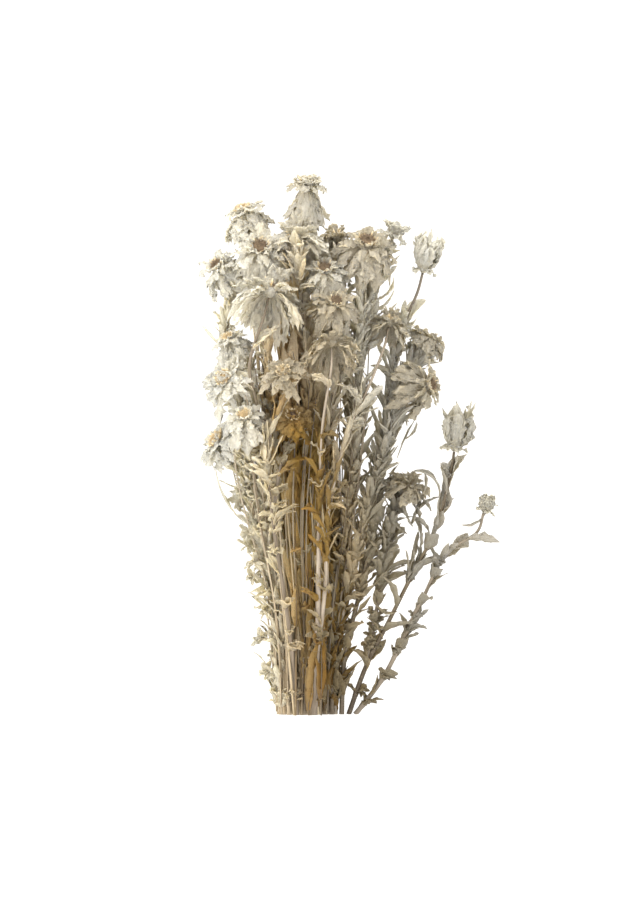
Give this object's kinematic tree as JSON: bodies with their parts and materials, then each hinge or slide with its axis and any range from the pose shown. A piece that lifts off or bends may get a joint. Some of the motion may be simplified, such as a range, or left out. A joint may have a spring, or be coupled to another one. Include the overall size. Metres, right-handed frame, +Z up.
{
  "type": "dried safflower bunch",
  "caption": "Loose bunch of dried flowers lying on its side: forked leafy straw stems with cream papery blooms, some with brown seed buttons.",
  "frame": {"origin": "on the table, under the middle of the bunch's outline as it lies", "axes": "+Y from the cut ends towards the flowers, +X across the bunch, +Z up from the table"},
  "size_m": [0.2091, 0.3792, 0.1059],
  "materials": {
    "stem": "dry straw-coloured stem with bleached papery leaves, matt",
    "straw": "dry amber straw, faintly ribbed, slightly satin",
    "petal": "bleached cream petal, thin, crinkled and matt, lets light through",
    "seed_button": "dry brown bristly seed head, matt"
  },
  "bodies": {
    "root": {"bloom_01": "petal", "bloom_02": "petal", "bloom_03": "petal", "bloom_04": "petal", "bloom_05": "petal", "bloom_06": "petal", "bloom_07": "petal", "bloom_08": "petal", "bloom_09": "petal", "bloom_10": "petal", "bloom_11": "petal", "bloom_12": "petal", "bloom_13": "petal", "bloom_14": "petal", "bloom_15": "petal", "bloom_16": "petal", "bloom_17": "petal", "bloom_18": "petal", "bloom_19": "petal", "bloom_20": "petal", "bloom_21": "petal", "bloom_22": "petal", "bloom_23": "petal", "bloom_24": "petal", "bloom_25": "petal", "seed_button_01": "seed_button", "seed_button_02": "seed_button", "seed_button_03": "seed_button", "seed_button_04": "seed_button", "seed_button_05": "seed_button", "seed_button_06": "seed_button", "seed_button_07": "seed_button", "seed_button_08": "seed_button", "seed_button_09": "seed_button", "seed_button_10": "seed_button", "seed_button_13": "seed_button", "seed_button_14": "seed_button", "seed_button_15": "seed_button", "seed_button_17": "seed_button", "seed_button_18": "seed_button", "seed_button_19": "seed_button", "seed_button_23": "seed_button", "seed_button_24": "seed_button", "seed_button_25": "seed_button", "stem_centre_left": "stem", "stem_centre_right": "stem", "stem_far_left": "stem", "stem_far_right": "stem", "stem_front": "stem", "stem_front_left": "stem", "stem_left": "stem", "stem_left_curved": "stem", "stem_low_middle": "stem", "stem_right_inner": "stem", "stem_right_middle": "stem", "stem_right_pod": "stem", "stem_right_tall": "stem", "stem_top_middle": "stem", "straw_sheaf_back": "straw", "straw_sheaf_core": "straw"}
  },
  "joints": []
}
